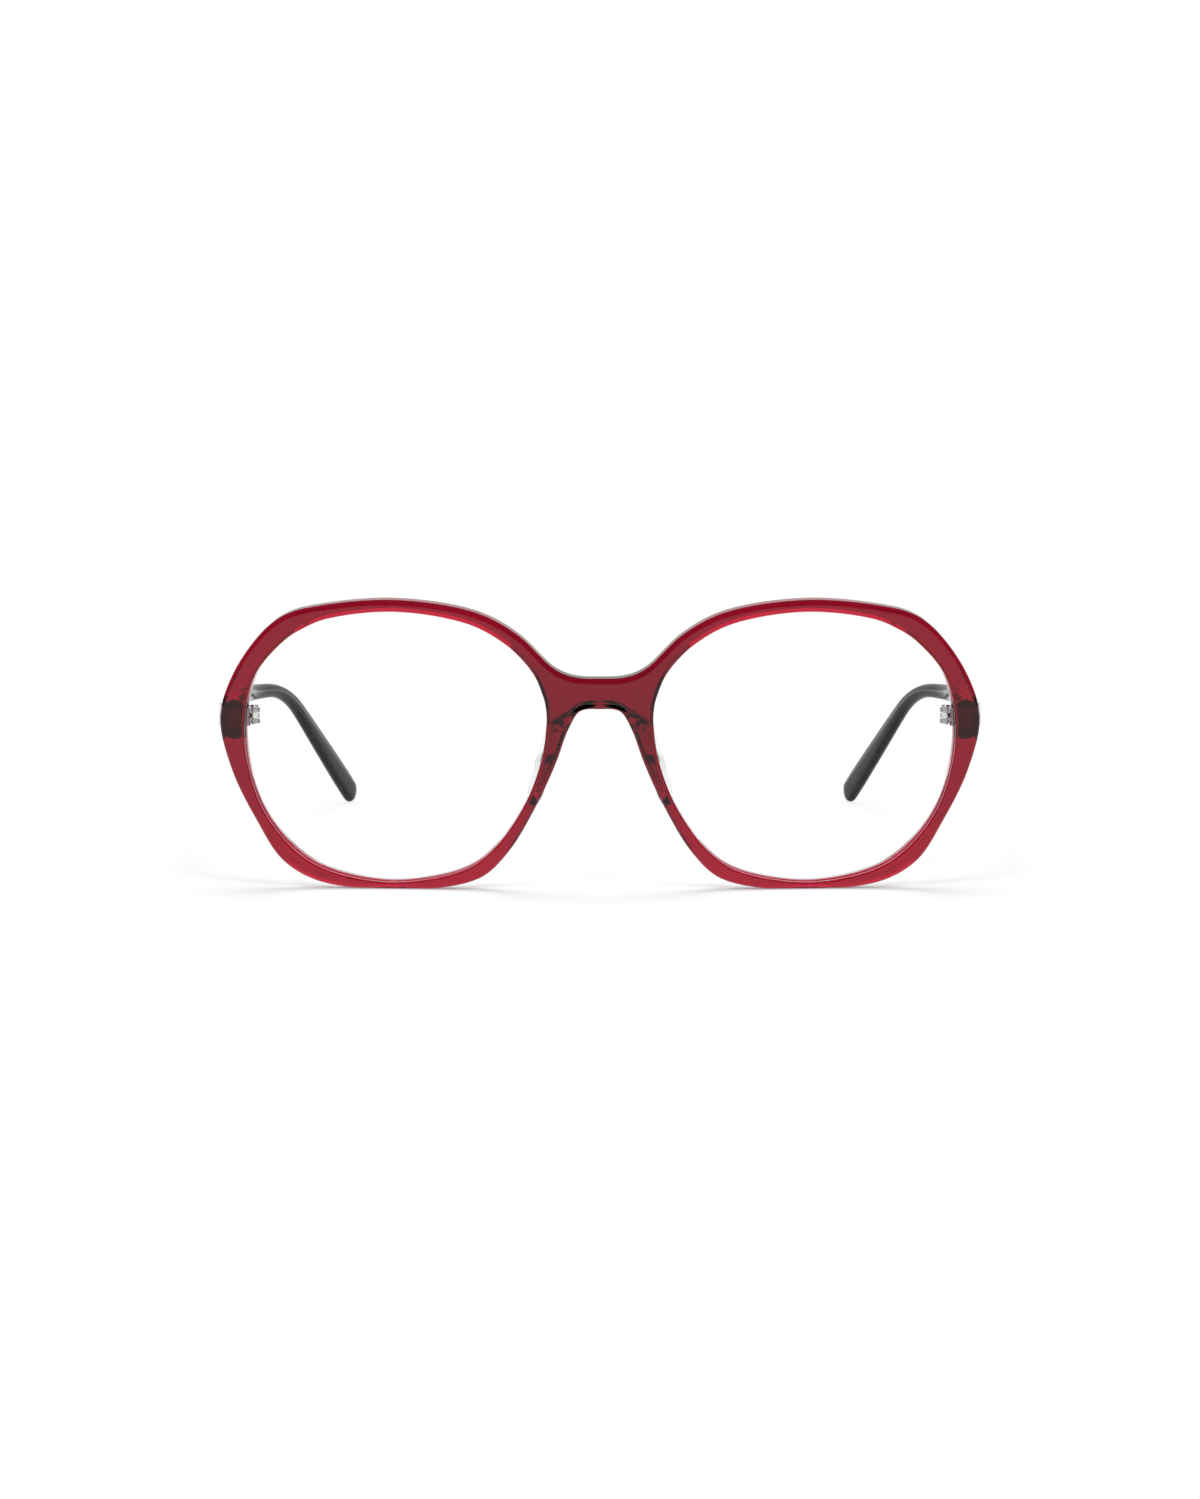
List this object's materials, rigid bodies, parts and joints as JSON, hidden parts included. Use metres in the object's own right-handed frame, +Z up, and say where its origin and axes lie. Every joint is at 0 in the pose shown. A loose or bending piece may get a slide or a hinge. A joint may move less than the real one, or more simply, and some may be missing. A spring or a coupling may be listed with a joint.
{
  "type": "round eyeglasses",
  "caption": "Eyeglasses with thin translucent burgundy acetate rims over a crystal layer, clear lenses, small barrel hinges and glossy black temples that fold inward.",
  "frame": {"origin": "on the level the glasses stand on, under the middle of their bounding box, temples open", "axes": "+Z up, +X to the wearer's left across the front, +Y from the front back to the temple tips"},
  "size_m": [0.1392, 0.1382, 0.0526],
  "materials": {
    "burgundy_acetate": "translucent burgundy acetate, polished",
    "crystal_acetate": "clear crystal acetate, polished",
    "clear_lens": "clear lens, polished",
    "crystal_pad": "clear crystal acetate, polished",
    "hinge_steel": "bright nickel silver",
    "black_acetate": "black acetate, polished",
    "plaque_steel": "satin silver, plain"
  },
  "bodies": {
    "front": {"front_acetate": "burgundy_acetate", "rear_laminate": "crystal_acetate", "lens_left": "clear_lens", "lens_right": "clear_lens", "nose_pad_left": "crystal_pad", "nose_pad_right": "crystal_pad", "hinge_front_leaf_left": "hinge_steel", "hinge_front_leaf_right": "hinge_steel", "hinge_screw_left": "hinge_steel", "hinge_screw_right": "hinge_steel"},
    "temple_arm_left": {"temple_left": "black_acetate", "core_wire_left": "hinge_steel", "hinge_temple_leaf_left": "hinge_steel", "temple_plaque_left": "plaque_steel"},
    "temple_arm_right": {"temple_right": "black_acetate", "core_wire_right": "hinge_steel", "hinge_temple_leaf_right": "hinge_steel", "temple_plaque_right": "plaque_steel"}
  },
  "joints": [
    {"name": "fold_left", "type": "hinge", "parent": "front", "child": "temple_arm_left", "pos_m": [0.06218, -0.05878, 0.03082], "axis": [0, 0.0484, 0.9988], "range_deg": [0, 83.5]},
    {"name": "fold_right", "type": "hinge", "parent": "front", "child": "temple_arm_right", "pos_m": [-0.06218, -0.05878, 0.03082], "axis": [0, -0.0484, -0.9988], "range_deg": [0, 72]}
  ]
}
